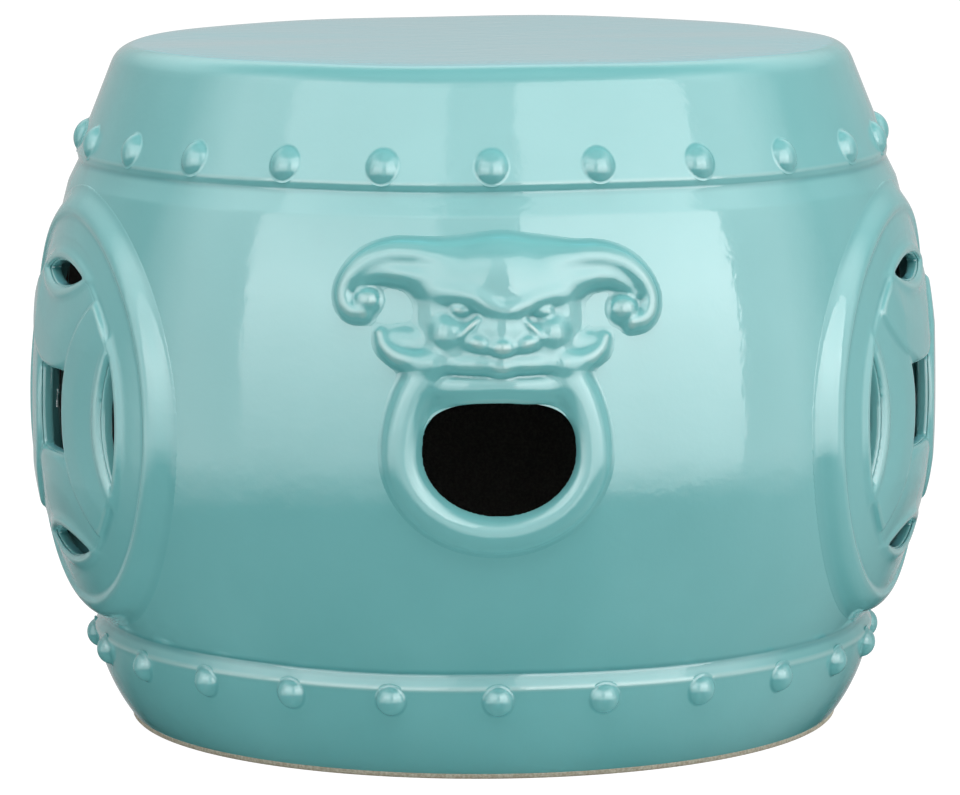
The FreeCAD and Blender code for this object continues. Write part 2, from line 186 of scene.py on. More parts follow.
def new_piece(node, points, faces, relief, material, ending="_glazed", slot="turquoise_glaze"):
    """A mesh object from points in millimetres that stands for a node, riding on the stool's only body."""
    name = node + ending
    mesh = bpy.data.meshes.new(name)
    points = hand_made(np.array(points)) * MM
    mesh.from_pydata(points.tolist(), [], [list(map(int, face)) for face in faces])
    mesh.validate()
    mesh.shade_smooth()
    mesh.set_sharp_from_angle(angle=math.radians(SHARP_ANGLE))
    layer = mesh.attributes.new("relief", "FLOAT", "POINT")
    layer.data.foreach_set("value", np.asarray(relief, np.float32))
    mesh.materials.append(material)
    piece = linked(name, mesh)
    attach(piece, "root")
    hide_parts(node)
    return piece


# Turned pieces


def barrel_radius(z):
    z = np.asarray(z, float)
    bend = np.where(z > BELLY_HEIGHT, UPPER_BULGE, LOWER_BULGE)
    return BELLY_RADIUS - bend + np.sqrt(bend ** 2 - (z - BELLY_HEIGHT) ** 2)


LIP_HEIGHT = SHOULDER_BOTTOM + LIP_RISE
LIP_RADIUS = barrel_radius(SHOULDER_BOTTOM)
SHOULDER_TOP_RADIUS = LIP_RADIUS - SHOULDER_TAPER
RIDGE_RADIUS = barrel_radius(BARREL_BOTTOM) + RIDGE_STEP
RIDGE_HEIGHT = BARREL_BOTTOM - RIDGE_DROP
FOOT_RADIUS = RIDGE_RADIUS - FOOT_TAPER


def circle_through(a, b, c):
    """Centre and radius of the circle through three points of a profile."""
    matrix = 2.0 * np.array([[p[0] - a[0], p[1] - a[1]] for p in (b, c)])
    right = np.array([p[0] ** 2 - a[0] ** 2 + p[1] ** 2 - a[1] ** 2 for p in (b, c)])
    centre = np.linalg.solve(matrix, right)
    return centre, np.hypot(*(centre - a))


def foot_radius_at(z):
    """The foot band's face: one arc from the rim over its belly to the ridge."""
    belly = (RIDGE_RADIUS - FOOT_BELLY_INSET, FOOT_BELLY_HEIGHT)
    centre, radius = circle_through((FOOT_RADIUS, FOOT_BOTTOM), belly, (RIDGE_RADIUS, RIDGE_HEIGHT))
    side = 1.0 if centre[0] < FOOT_RADIUS else -1.0
    return centre[0] + side * np.sqrt(radius ** 2 - (np.asarray(z, float) - centre[1]) ** 2)


def rounded(corners):
    """A profile from (radius, height, rounding) corners, each corner an arc of its rounding."""
    points = [np.array(corners[0][:2], float)]
    for before, here, after in zip(corners, corners[1:], corners[2:]):
        corner = np.array(here[:2], float)
        rounding = here[2]
        to_before = np.array(before[:2]) - corner
        to_after = np.array(after[:2]) - corner
        to_before /= np.hypot(*to_before)
        to_after /= np.hypot(*to_after)
        half = math.acos(np.clip(to_before @ to_after, -1.0, 1.0)) / 2
        if rounding <= 0.0 or half > math.pi / 2 - 0.01:
            points.append(corner)
            continue
        run = rounding / math.tan(half)
        middle = to_before + to_after
        centre = corner + middle / np.hypot(*middle) * rounding / math.sin(half)
        start = corner + to_before * run - centre
        end = corner + to_after * run - centre
        turn = math.copysign(math.pi - 2 * half, start[0] * end[1] - start[1] * end[0])
        steps = max(3, int(abs(turn) * rounding / ARC_STEP))
        for step in range(steps + 1):
            cos, sin = math.cos(turn * step / steps), math.sin(turn * step / steps)
            points.append(centre + (start[0] * cos - start[1] * sin, start[0] * sin + start[1] * cos))
    points.append(np.array(corners[-1][:2], float))
    return np.array(points)


def spaced(points, gap):
    """Extra points along a profile so that none of its runs is longer than the gap."""
    result = [points[0]]
    for start, end in zip(points, points[1:]):
        steps = max(1, int(math.ceil(np.hypot(*(end - start)) / gap)))
        result += [start + (end - start) * (step + 1) / steps for step in range(steps)]
    return np.array(result)


def split_at(points, height):
    """A profile with a point added where it crosses a height, so that two pieces share that edge."""
    for index, (start, end) in enumerate(zip(points, points[1:]), 1):
        if (start[1] - height) * (end[1] - height) < 0.0:
            share = (height - start[1]) / (end[1] - start[1])
            return np.insert(points, index, start + share * (end - start), axis=0)
    return points


def outer_skin():
    """The stool's outside from the middle of the seat down to the bare rim, as one profile."""
    taper = SHOULDER_TAPER / (SEAT_BOTTOM - LIP_HEIGHT)
    edge_top = SEAT_TOP - SEAT_FALL
    corner = SHOULDER_TOP_RADIUS - taper * (edge_top - SEAT_BOTTOM)
    seat = [(0.0, SEAT_TOP, 0.0)]
    for radius in np.linspace(SEAT_FLAT_RADIUS, corner - SEAT_EDGE_RADIUS, 6):
        share = (radius - SEAT_FLAT_RADIUS) / (corner - SEAT_FLAT_RADIUS)
        seat.append((radius, SEAT_TOP - SEAT_FALL * share ** 2, 0.0))
    shoulder = [(corner, edge_top, SEAT_EDGE_RADIUS), (SHOULDER_TOP_RADIUS, SEAT_BOTTOM, 0.0)]
    neck_end = SHOULDER_BOTTOM - NECK_FALL
    neck = [
        (LIP_RADIUS - LIP_INSET, LIP_HEIGHT, LIP_ROUNDING),
        (LIP_RADIUS - NECK_DEPTH, SHOULDER_BOTTOM + NECK_LIFT, NECK_ROUNDING),
        (barrel_radius(neck_end), neck_end, NECK_FALL_ROUNDING),
    ]
    corner_height = BARREL_BOTTOM - RIDGE_CORNER_DROP
    face_height = BARREL_BOTTOM - RIDGE_FACE_DROP
    ridge = [
        (barrel_radius(corner_height), corner_height, RIDGE_CORNER_ROUNDING),
        (foot_radius_at(face_height) + RIDGE_FACE_STAND, face_height, RIDGE_FACE_ROUNDING),
    ]
    # Wall and foot start and end a little clear of the rounded corners
    wall = [(barrel_radius(z), z, 0.0) for z in np.linspace(neck_end - 3.0, BARREL_BOTTOM + 4.0, 90)]
    foot = [(foot_radius_at(z), z, 0.0) for z in np.linspace(face_height - 3.5, FOOT_BOTTOM, 30)]
    profile = spaced(rounded(seat + shoulder + neck + wall + ridge + foot), PROFILE_GAP)
    for height in (SEAT_BOTTOM, SHOULDER_BOTTOM, BARREL_BOTTOM):
        profile = split_at(profile, height)
    return profile


def profile_relief(profile, reach):
    """How far each point of a profile stands out of the profile's own smoothed run, in millimetres."""
    step = 0.5
    runs = np.concatenate(([0.0], np.cumsum(np.hypot(*np.diff(profile, axis=0).T))))
    even = np.arange(0.0, runs[-1], step)
    flat = np.column_stack([np.interp(even, runs, column) for column in profile.T])
    weights = np.exp(-0.5 * (np.arange(-3 * reach, 3 * reach + step, step) / reach) ** 2)
    weights /= weights.sum()
    margin = len(weights) // 2
    padded = np.pad(flat, ((margin, margin), (0, 0)), mode="reflect", reflect_type="odd")
    smooth = np.column_stack([np.convolve(column, weights, mode="valid") for column in padded.T])
    along = np.gradient(flat, axis=0)
    normal = np.column_stack((-along[:, 1], along[:, 0])) / np.hypot(*along.T)[:, None]
    stand = np.einsum("ij,ij->i", flat - smooth, normal)
    return np.interp(runs, even, stand)


def spun(profile, relief, count, place, closed=False):
    """Points, faces and relief of a spun profile; place(distance, height, angle) gives each point."""
    points, faces, values, rings = [], [], [], []
    for (distance, height), value in zip(profile, relief):
        size = 1 if distance < TINY else count
        rings.append(range(len(points), len(points) + size))
        points += [place(distance, height, 2 * math.pi * step / count) for step in range(size)]
        values += [value] * size
    if closed:
        rings.append(rings[0])
    for upper, lower in zip(rings, rings[1:]):
        for step in range(count):
            after = (step + 1) % count
            if len(upper) == 1:
                faces.append((upper[0], lower[step], lower[after]))
            elif len(lower) == 1:
                faces.append((upper[after], upper[step], lower[0]))
            else:
                faces.append((upper[step], lower[step], lower[after], upper[after]))
    return points, faces, values


def round_axis(radius, height, turn):
    return radius * math.sin(turn), -radius * math.cos(turn), height


def turned_piece(node, high, low, inside, materials):
    """The part of the outer skin between two heights, closed by its inside profile in the second material."""
    chosen = (SKIN[:, 1] <= high + TINY) & (SKIN[:, 1] >= low - TINY)
    profile = np.vstack((SKIN[chosen], inside))
    relief = np.concatenate((SKIN_RELIEF[chosen], np.zeros(len(inside))))
    mesh_data = spun(profile, relief, SPIN_STEPS, round_axis, closed=profile[0][0] > TINY)
    piece = new_piece(node, *mesh_data, materials[0])
    piece.data.materials.append(materials[1])
    for face in piece.data.polygons[(np.count_nonzero(chosen) - 1) * SPIN_STEPS:]:
        face.material_index = 1
    return piece


SKIN = outer_skin()
SKIN_RELIEF = profile_relief(SKIN, RELIEF_REACH)


# Relief sculpted in a block of space


EVERYTHING = (slice(None), slice(None), slice(None))


class Block:
    """A block of grid points over a panel, with helpers that lay shapes into fields of signed distance."""

    def __init__(self, low, high, cell):
        self.low = np.array(low, float)
        self.cell = cell
        counts = np.ceil((np.array(high, float) - self.low) / cell).astype(int) + 1
        self.axes = [self.low[axis] + cell * np.arange(counts[axis]) for axis in range(3)]
        self.shape = tuple(counts)

    def empty(self):
        return np.full(self.shape, FAR, np.float32)

    def grid(self, cuts=EVERYTHING):
        """Open coordinates u, v and w of the block or of a part of it."""
        return np.ix_(*(axis[cut].astype(np.float32) for axis, cut in zip(self.axes, cuts)))

    def window(self, low, high):
        """Slices and open coordinates of the part of the block between two corners."""
        bounds = zip(self.axes, low, high)
        cuts = tuple(slice(*np.searchsorted(axis, (a - REACH, b + REACH))) for axis, a, b in bounds)
        return cuts, *self.grid(cuts)

    def ellipsoid(self, middle, radii, turn=0.0, power=2.0):
        """(slices, distance) of an ellipsoid turned in the wall's plane; a higher power squares its plan."""
        widest = max(radii[0], radii[1])
        low = (middle[0] - widest, middle[1] - widest, middle[2] - radii[2])
        high = (middle[0] + widest, middle[1] + widest, middle[2] + radii[2])
        cuts, u, v, w = self.window(low, high)
        across, along = turned_axes(u - middle[0], v - middle[1], turn)
        across = np.abs(across) / radii[0] + 1e-4
        along = np.abs(along) / radii[1] + 1e-4
        out = (w - middle[2]) / radii[2]
        plan = (across ** power + along ** power) ** (1.0 / power)
        reach = np.sqrt(plan ** 2 + out ** 2)
        steep = np.sqrt((across ** (power - 1) / radii[0]) ** 2 + (along ** (power - 1) / radii[1]) ** 2)
        slope = np.sqrt((plan ** (2 - power) * steep) ** 2 + (out / radii[2]) ** 2)
        return cuts, reach * (reach - 1.0) / slope

    def tube(self, stations, flat=1.0):
        """Distance to a tube through (u, v, w, radius) stations; a flat above 1 presses it to the wall."""
        field = self.empty()
        path = smooth_path(np.array(stations, float))
        for start, end in zip(path, path[1:]):
            thick = max(start[3], end[3])
            low = np.minimum(start[:3], end[:3]) - thick
            high = np.maximum(start[:3], end[:3]) + thick
            cuts, u, v, w = self.window(low, high)
            run = end[:3] - start[:3]
            length = run @ run + 1e-9
            share = ((u - start[0]) * run[0] + (v - start[1]) * run[1] + (w - start[2]) * run[2]) / length
            share = np.clip(share, 0.0, 1.0)
            gap = np.sqrt((u - start[0] - share * run[0]) ** 2 + (v - start[1] - share * run[1]) ** 2
                          + (flat * (w - start[2] - share * run[2])) ** 2)
            near = gap - (start[3] + share * (end[3] - start[3]))
            field[cuts] = np.minimum(field[cuts], near)
        return field

    def add(self, field, shape, blend):
        """Clay added to a field with a soft joint."""
        cuts, near = shape
        field[cuts] = soft_min(field[cuts], near, blend)

    def carve(self, field, shape, blend):
        cuts, near = shape
        field[cuts] = soft_max(field[cuts], -near, blend)


def smooth_path(stations, steps=6):
    """Stations with a Catmull-Rom curve's points between them."""
    ends = [2 * stations[0] - stations[1]] + list(stations) + [2 * stations[-1] - stations[-2]]
    path = []
    for a, b, c, d in zip(ends, ends[1:], ends[2:], ends[3:]):
        for step in range(steps):
            t = step / steps
            path.append(0.5 * (2 * b + (c - a) * t + (2 * a - 5 * b + 4 * c - d) * t ** 2
                               + (3 * b - a - 3 * c + d) * t ** 3))
    path.append(stations[-1])
    return np.array(path)


def box_blur(field, radius):
    """The mean of a field over a cube of grid points."""
    size = 2 * radius + 1
    for axis in range(3):
        padding = [(0, 0)] * 3
        padding[axis] = (radius + 1, radius)
        total = np.cumsum(np.pad(field, padding, mode="edge"), axis=axis, dtype=np.float32)
        count = total.shape[axis]
        upper = np.take(total, np.arange(size, count), axis=axis)
        lower = np.take(total, np.arange(0, count - size), axis=axis)
        field = (upper - lower) / size
    return field


def sample(field, places):
    """Values of a field at places given in grid steps, blended from the eight points round each."""
    limit = np.array(field.shape) - 1.001
    places = np.clip(places, 0.0, limit)
    base = places.astype(int)
    share = places - base
    total = np.zeros(len(places))
    for corner in itertools.product((0, 1), repeat=3):
        weight = np.prod(np.where(corner, share, 1.0 - share), axis=1)
        total += weight * field[tuple((base + corner).T)]
    return total


def surface(field):
    """Points in grid steps and squares of the surface where a field is zero, one point per crossed cell."""
    inside = field < 0
    corners = list(itertools.product((0, 1), repeat=3))
    cut = [tuple(slice(c, n - 1 + c) for c, n in zip(corner, field.shape)) for corner in corners]
    full = sum(inside[c].astype(np.int8) for c in cut)
    active = (full > 0) & (full < 8)
    cells = np.argwhere(active)
    index = np.full(active.shape, -1, np.int64)
    index[active] = np.arange(len(cells))
    total = np.zeros((len(cells), 3))
    count = np.zeros(len(cells))
    steps = np.eye(3, dtype=int)
    for axis, corner in itertools.product(range(3), corners):
        if corner[axis]:
            continue
        start = cells + corner
        a = field[tuple(start.T)].astype(float)
        b = field[tuple((start + steps[axis]).T)].astype(float)
        crossed = (a < 0) != (b < 0)
        share = a[crossed] / (a[crossed] - b[crossed])
        total[crossed] += start[crossed] + share[:, None] * steps[axis]
        count[crossed] += 1
    squares = []
    for axis in range(3):
        first, second = np.delete(steps, axis, axis=0)
        here = [slice(1, n - 1) for n in field.shape]
        there = list(here)
        here[axis] = slice(0, field.shape[axis] - 1)
        there[axis] = slice(1, field.shape[axis])
        a, b = inside[tuple(here)], inside[tuple(there)]
        for leaving in (True, False):
            edges = np.argwhere((a != b) & (a == leaving)) + (1 - steps[axis])
            around = (edges, edges - first, edges - first - second, edges - second)
            square = np.column_stack([index[tuple(cell.T)] for cell in around])
            flip = (axis == 1) != leaving
            squares.append(square if flip else square[:, ::-1])
    return total / count[:, None], np.vstack(squares)


def settle(field, points, steps=3, longest=0.4):
    """Points moved on to the exact zero of the field, down its slope."""
    for _ in range(steps):
        value = sample(field, points)
        slope = np.column_stack([
            sample(field, points + 0.5 * axis) - sample(field, points - 0.5 * axis) for axis in np.eye(3)
        ])
        move = -value[:, None] * slope / np.maximum((slope ** 2).sum(axis=1), TINY)[:, None]
        points = points + np.clip(move, -longest, longest)
    return points


def relief_field(block, clay):
    """How far the clay's surface stands out of its smoothed self; positive on edges, negative in hollows."""
    capped = np.clip(clay, -RELIEF_LIMIT, RELIEF_LIMIT)
    radius = max(1, int(round(RELIEF_REACH / block.cell)))
    return box_blur(capped, radius) - capped


def turn_about(points, degrees):
    x, y, z = points.T
    return np.column_stack((*turned_axes(x, y, -degrees), z))


def sculpted_pieces(block, fields, relief, wrap, panels, material):
    """The surface of each named field, laid on every panel as a piece."""
    for name, field in fields.items():
        points, faces = surface(field)
        points = settle(field, points)
        values = sample(relief, points)
        flat = wrap(block.low + points * block.cell)
        for panel, turns in panels.items():
            placed = turn_about(flat, turns * PANEL_TURN)
            new_piece(panel + "_" + name, placed, faces, values, material)


def mask_wrap(flat):
    """Mask layout to the stool: u is an arc along the wall and w stands square to the wall."""
    u, v, w = flat.T
    turn = u / BELLY_RADIUS
    lean = np.arcsin(v / np.where(v > 0, UPPER_BULGE, LOWER_BULGE))
    height = BELLY_HEIGHT + v
    radius = barrel_radius(height) + w * np.cos(lean)
    return np.column_stack((radius * np.sin(turn), -radius * np.cos(turn), height + w * np.sin(lean)))


def skirt(joined):
    """How deep a piece's edge sinks under the wall, past the fillet round the joined clay."""
    return SKIRT_SINK * smooth_step(SKIRT_START, SKIRT_END, joined)


# Beast mask

# Clay as (middle u, v, w), (radii), blend, and where they aren't 0 and 2, turn and power
SKULL_CLAY = [
    ((0.5, 79, -3), (46, 38, 16), 1, 0, 3.2),
    ((0, 98.5, -1), (50, 19.5, 13), 5, 0, 2.5),
    ((1, 104, 0), (20, 14.5, 13.4), 6),
    ((2.5, 91, -1), (31, 20, 14.8), 6, 0, 2.2),
]
# Hollows over the eyes, given as the clay is
SKULL_HOLLOWS = [
    ((-24, 78, 16.5), (15, 7.5, 8.5), 6, -6),
    ((27, 77, 16.5), (15, 7.5, 8.5), 6, 6),
]
# The brow's roll as (u, v, w, radius) stations
BROW = [(-44, 92, -1, 3), (-34, 90.5, 3.6, 3.8), (-23, 88.4, 7, 4), (-13.5, 86.6, 9.8, 4.2),
        (-6, 82.6, 11.3, 4.2), (3, 79.2, 11.9, 4.2), (12.8, 81.8, 11.1, 4.2), (20, 85, 9.2, 4),
        (29, 87.6, 6.4, 4), (36, 89, 3.4, 3.8), (44, 91, -1, 3)]
# Eyes, cheeks, muzzle, nostrils, nose, lips and chin
FEATURE_CLAY = [
    ((-21, 79.8, 7.6), (5.4, 3.3, 3.5), 2.5, -6),
    ((24.2, 78.8, 7.6), (5.4, 3.3, 3.5), 2.5, 6),
    ((-28.5, 67, 3.5), (8.5, 9.5, 8.5), 5),
    ((28.8, 67, 3.5), (8.5, 9.5, 8.5), 5),
    ((2, 68, 4.5), (13, 12, 10), 4),
    ((-10.5, 61.5, 8), (8.5, 4.6, 6.3), 3, -18),
    ((14, 61.5, 8), (8.5, 4.6, 6.3), 3, 18),
    ((1.5, 59.5, 9.5), (7.2, 5.4, 7.6), 3),
    ((0.5, 50.8, 1.5), (38, 7.2, 11), 3, 0, 2.4),
    ((1, 48.5, 7), (7, 5, 5.6), 4),
    ((0.5, 38.4, 0), (45, 8, 9.2), 2, 0, 2.8),
    ((0.5, 31.5, 0), (36, 5, 6.4), 4, 0, 2.4),
]
# Raised folds beside the nose as (u, v, w, radius) stations
FACE_FOLDS = [
    [(-11.5, 74.9, 11.4, 1.2), (-16, 70.5, 11.8, 1.5), (-21, 65.5, 11, 1.1)],
    [(13.4, 74, 11.4, 1.2), (18, 69.5, 11.8, 1.5), (23.3, 64.3, 11, 1.1)],
]
# Creases pressed into the clay as (u, v, w, radius) stations
FACE_CREASES = [
    [(-37, 50, 6, 0.9), (-31, 46.8, 8.6, 1.1), (-19, 45, 10.6, 1.2), (-7, 45.4, 11.6, 1.2),
     (1.5, 43.6, 11.8, 1.2), (8, 44.6, 11.6, 1.2), (19, 45, 10.6, 1.2), (31, 46.4, 8.6, 1.1),
     (37, 50, 6, 0.9)],
    [(-38, 61, 7.5, 0.8), (-30, 58.2, 11, 1.1), (-22.5, 60.5, 12, 0.8)],
    [(23.5, 60, 12, 0.8), (31, 58, 11, 1.1), (39, 60.5, 7.5, 0.8)],
]
# Each horn: an outer crest and an inner roll that run from the crown, and the ball of its curl
HORNS = {
    "left_horn": (
        [(-24, 106, -2, 8), (-35, 108.4, 0.6, 7.6), (-48, 110.1, 1.5, 7), (-62.3, 110, 1.5, 6.6),
         (-74.8, 106.1, 1.5, 6.3), (-83.5, 99, 1.5, 5.9), (-88.3, 90.9, 1.2, 5.2), (-87.8, 83.6, 1, 5),
         (-83.7, 79.3, 1, 4.7), (-77.5, 78.5, 1, 4.4)],
        [(-36, 96.3, -2, 7), (-44, 98.4, 0.6, 6.9), (-55, 100.2, 1, 6.2), (-66, 100.7, 1, 5.4),
         (-75, 97.4, 0.6, 4.4), (-80.5, 91.5, 0, 3.2)],
        ((-75.6, 85, 0.5), (7.2, 6.5, 6)),
    ),
    "right_horn": (
        [(25, 105.6, -2, 8), (36, 106.8, 0.6, 7.6), (48, 107.4, 1.5, 7), (61.2, 107, 1.5, 6.6),
         (73.4, 103, 1.5, 6.3), (82.4, 95.5, 1.5, 5.9), (87.4, 86.8, 1.2, 5.2), (87.2, 78.7, 1, 5),
         (83.1, 73.3, 1, 4.8), (76.5, 71.6, 1, 4.5)],
        [(37, 94.6, -2, 7), (45, 96, 0.6, 6.9), (55, 97.4, 1, 6.1), (65, 96.8, 1, 5.2),
         (73.5, 92.2, 0.6, 4.2), (78.5, 86.8, 0, 3.2)],
        ((72.2, 79, 0.5), (7.8, 7, 6)),
    ),
}
# Each ear: the pale crest along its lower side and the hollow leaf above it
EARS = {
    "left_ear": (
        [(-67, 66.5, 0.5, 2.2), (-64, 60.5, 1.2, 3.4), (-57, 55, 2, 4.8), (-47.5, 52, 2.5, 5.8),
         (-37, 51, 3, 6.5)],
        ((-52, 61.5, -1), (15.5, 8, 4.4)),
    ),
    "right_ear": (
        [(60.3, 63.5, 0.5, 2.2), (57.3, 58.3, 1.2, 3.4), (51, 53.8, 2, 4.8), (44, 51.5, 2.5, 5.8),
         (37, 50.8, 3, 6.5)],
        ((49.5, 59, -1), (12, 7.5, 4.4)),
    ),
}
# The ring's middle line is half an ellipse below its widest level and half a taller one above it
RING_HALF_WIDTH = 53.2
RING_DROP = 45.9
RING_CLIMB = 66.0
RING_SECTION = 9.8
RING_FLATTENING = 1.22
RING_SHIFT = -1.5
RING_LAST_ANGLE = 60.0
HOLE_HALF_WIDTH = 43.0
HOLE_DROP = 35.5
HOLE_CLIMB = 28.8
HOLE_SQUARENESS = 2.9
# Waves in the hand hole's upper edge as (rise, middle, width)
HOLE_WAVES = [(1.2, 28.0, 7.0), (-0.5, 14.0, 6.0)]
MASK_LOW = (-105.0, -68.0, -5.0)
MASK_HIGH = (107.0, 130.0, 34.0)


def face_field(block):
    face = block.empty()
    for middle, radii, blend, *form in SKULL_CLAY:
        block.add(face, block.ellipsoid(middle, radii, *form), blend)
    for middle, radii, blend, *form in SKULL_HOLLOWS:
        block.carve(face, block.ellipsoid(middle, radii, *form), blend)
    block.add(face, (EVERYTHING, block.tube(BROW)), blend=4.5)
    for middle, radii, blend, *form in FEATURE_CLAY:
        block.add(face, block.ellipsoid(middle, radii, *form), blend)
    for fold in FACE_FOLDS:
        block.add(face, (EVERYTHING, block.tube(fold)), blend=2.0)
    for crease in FACE_CREASES:
        block.carve(face, (EVERYTHING, block.tube(crease)), blend=2.2)
    return face


def ring_field(block):
    stations = []
    for angle in np.radians(np.linspace(-180.0 - RING_LAST_ANGLE, RING_LAST_ANGLE, 25)):
        reach = RING_CLIMB if math.sin(angle) > 0 else RING_DROP
        across = RING_SHIFT + RING_HALF_WIDTH * math.cos(angle)
        stations.append((across, reach * math.sin(angle), 0.0, RING_SECTION))
    return block.tube(stations, RING_FLATTENING)


def hole_share(u, v, climb, grow=0.0):
    """Where (u, v) lies as a share of the hand hole's reach: half an ellipse below, squarer above."""
    reach = np.where(v > 0, climb, HOLE_DROP) + grow
    power = np.where(v > 0, HOLE_SQUARENESS, 2.0)
    return ((np.abs(u) / (HOLE_HALF_WIDTH + grow)) ** power + (np.abs(v) / reach) ** power) ** (1.0 / power)


def hole_field(block):
    """Distance across the wall to the hand hole, whose upper edge is a little uneven."""
    u, v, _ = block.grid()
    uneven = sum(rise * np.exp(-((u - middle) / width) ** 2) for rise, middle, width in HOLE_WAVES)
    share = hole_share(u, v, HOLE_CLIMB + uneven)
    return np.sqrt(u ** 2 + v ** 2) * (1.0 - 1.0 / np.maximum(share, 1e-3))


def mask_fields(block):
    """Fields of the mask's pieces, before they are joined."""
    pieces = {"face": face_field(block), "ring": ring_field(block)}
    for name, (crest, roll, (middle, radii)) in HORNS.items():
        horn = soft_min(block.tube(crest), block.tube(roll), blend=4.5)
        block.add(horn, block.ellipsoid(middle, radii), blend=2.5)
        pieces[name] = horn
    for name, (crest, (middle, radii)) in EARS.items():
        ear = block.tube(crest)
        block.add(ear, block.ellipsoid(middle, radii), blend=3.0)
        pieces[name] = ear
    return pieces


def split_pieces(block, pieces, clay, joined):
    """The field of each piece's own share of the joined clay, sinking under its neighbours past the seam.

    clay is the whole surface with the wall, and joined the pieces alone: past the fillet round them the
    piece's skirt sinks under the wall.
    """
    _, _, w = block.grid()
    edge = soft_max(joined - SKIRT_END, -BACK_DEPTH - w, blend=0.2)
    result = {}
    for name, own in pieces.items():
        others = np.minimum.reduce([other for key, other in pieces.items() if key != name])
        seam = own - others
        sunk = clay + skirt(joined) + SEAM_SINK * np.maximum(seam, 0.0) ** 2
        result[name] = np.maximum(np.maximum(sunk, edge), 0.5 * (seam - SEAM_OVERLAP * 2))
    return result


def masks(material):
    block = Block(MASK_LOW, MASK_HIGH, MASK_CELL)
    _, _, w = block.grid()
    pieces = mask_fields(block)
    joined = block.empty()
    for field in pieces.values():
        joined = soft_min(joined, field, blend=5.0)
    joined = box_blur(joined, 1)
    clay = soft_min(joined, w, WALL_FILLET)
    clay = soft_max(clay, -hole_field(block), blend=3.0)
    fields = split_pieces(block, pieces, clay, joined)
    sculpted_pieces(block, fields, relief_field(block, clay), mask_wrap, MASK_PANELS, material)


# Coin medallion

COIN_HEIGHT = 197.0
COIN_RADIUS = 126.5
COIN_RISE = 7.3
COIN_UPPER_BULGE = 413.6
COIN_LOWER_BULGE = 297.7
COIN_EDGE = 6.5
COIN_FIELD = 90.0
COIN_CREST_START = 112.5
COIN_RIM_DROP = 2.6
COIN_PLATE_DROP = 3.2
COIN_BAND_DROP = 0.6
COIN_PLATE_BACK = 10.0
COIN_WINDOW_RADIUS = 121.0
COIN_SQUARE = 24.0
COIN_SLIT_DISTANCE = 79.5
COIN_SLIT_HALF = 34.5
COIN_SLIT_BOW = 6.8
COIN_BAND_ARC = 85.0
COIN_BAND_WIDTH = 46.0
COIN_BAND_SLOPE = 3.2
COIN_WEAVE = 1.3
COIN_WEAVE_REACH = 40.0
COIN_LIP_RISE = 2.2
COIN_LIP_OFFSET = 4.5
COIN_LIP_WIDTH = 4.0
# How high each band lies at its two ends, anticlockwise end last: 1 over its neighbour, -1 under it
COIN_BANDS = {0: (1.0, 1.0), 90: (-1.0, 1.0), 180: (-1.0, 1.0), 270: (-1.0, -1.0)}
COIN_LOW = (-140.0, -140.0, -16.0)
COIN_HIGH = (140.0, 140.0, 17.0)


def coin_wrap(flat):
    """Coin layout to the stool: u is straight across the coin and w stands out from the axis."""
    u, v, w = flat.T
    radius = barrel_radius(COIN_HEIGHT + v) + w
    return np.column_stack((u, -np.sqrt(radius ** 2 - u ** 2), COIN_HEIGHT + v))


def coin_stand(v):
    """How far the coin's own bulging face stands out of the barrel."""
    z = COIN_HEIGHT + v
    bend = np.where(z > BELLY_HEIGHT, COIN_UPPER_BULGE, COIN_LOWER_BULGE)
    face = BELLY_RADIUS + COIN_RISE - bend + np.sqrt(bend ** 2 - (z - BELLY_HEIGHT) ** 2)
    return face - barrel_radius(z)


def lens(u, v, degrees):
    """Distance to a pointed slit across the given direction."""
    out, side = turned_axes(u, v, degrees)
    radius = (COIN_SLIT_HALF ** 2 + COIN_SLIT_BOW ** 2) / (2 * COIN_SLIT_BOW)
    inner = np.hypot(out - (COIN_SLIT_DISTANCE - radius + COIN_SLIT_BOW), side) - radius
    outer = np.hypot(out - (COIN_SLIT_DISTANCE + radius - COIN_SLIT_BOW), side) - radius
    return soft_max(inner, outer, blend=1.5)


def coin_bands(u, v, rho, height, lip):
    """Field of the four woven bands, curved strips that bow away from the square."""
    bands = []
    for degrees, (before, after) in COIN_BANDS.items():
        out, side = turned_axes(u, v, degrees)
        across = COIN_BAND_ARC - np.hypot(out - COIN_SQUARE - COIN_BAND_ARC, side)
        beyond = COIN_BAND_ARC - np.hypot(out - COIN_SQUARE - COIN_BAND_WIDTH - COIN_BAND_ARC, side)
        turn = np.clip(side / COIN_WEAVE_REACH, -1.0, 1.0)
        weave = COIN_WEAVE * np.where(side > 0, after, before) * turn * turn
        slope = COIN_BAND_SLOPE * smooth_step(18.0, COIN_BAND_WIDTH, across)
        top = height + COIN_BAND_DROP - weave + slope - lip * smooth_step(30.0, COIN_BAND_WIDTH, across)
        band = soft_max(soft_max(top, -across, blend=5.0), beyond, blend=4.0)
        bands.append(soft_max(band, rho - COIN_FIELD - 1.0, blend=2.0))
    return np.minimum.reduce(bands)


